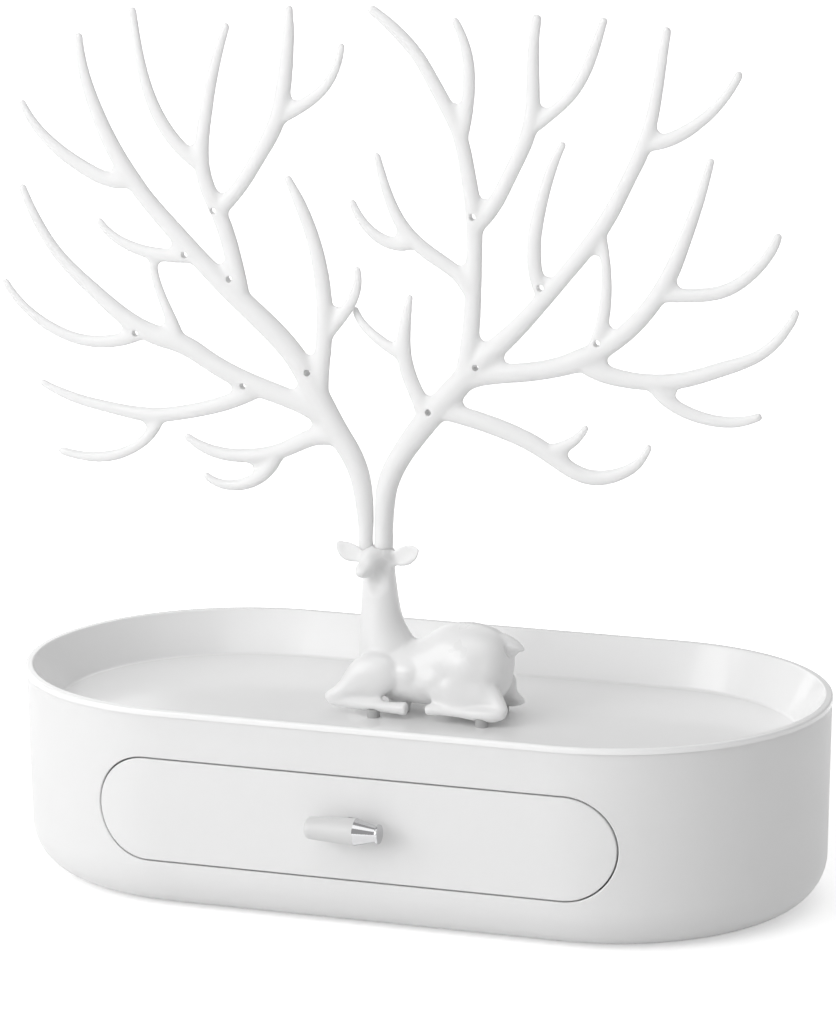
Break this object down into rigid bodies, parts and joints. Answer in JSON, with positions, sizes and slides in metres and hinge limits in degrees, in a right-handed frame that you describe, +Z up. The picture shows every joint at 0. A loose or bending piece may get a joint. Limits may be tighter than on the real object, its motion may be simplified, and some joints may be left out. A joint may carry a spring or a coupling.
{
  "type": "jewelry stand with drawer",
  "caption": "Obround white jewellery box with one drawer, a dished tray on top and a lying deer whose branching antlers hold necklaces and rings.",
  "frame": {"origin": "middle of the foot rim, on the surface that the stand rests on", "axes": "+Z up, +X along the box to the right seen from the drawer, the drawer opens towards -Y"},
  "size_m": [0.2625, 0.1376, 0.2637],
  "materials": {
    "housing": "satin moulded white",
    "tray": "glossy moulded white",
    "drawer_front": "satin moulded white",
    "drawer_bin": "satin moulded white",
    "pull_sleeve": "satin pale grey",
    "pull_chrome": "polished chrome plate",
    "deer": "high gloss white",
    "antlers": "soft gloss white",
    "screw_steel": "zinc plated steel",
    "foot_rubber": "soft pale grey rubber",
    "pad_rubber": "soft grey rubber"
  },
  "bodies": {
    "stand": {"housing": "housing", "foot_plugs": "foot_rubber", "cover_screws": "screw_steel", "top_tray": "tray", "deer": "deer", "deer_pads": "pad_rubber", "deer_screws": "screw_steel", "left_antler": "antlers", "right_antler": "antlers"},
    "drawer": {"drawer_front": "drawer_front", "drawer_bin": "drawer_bin", "drawer_front_screws": "screw_steel", "pull_sleeve": "pull_sleeve", "pull_end": "pull_chrome", "pull_stem": "pull_chrome", "pull_screw": "screw_steel"}
  },
  "joints": [
    {"name": "drawer_slide", "type": "slide", "parent": "stand", "child": "drawer", "axis": [0, -1, 0], "range_m": [0, 0.085]}
  ]
}
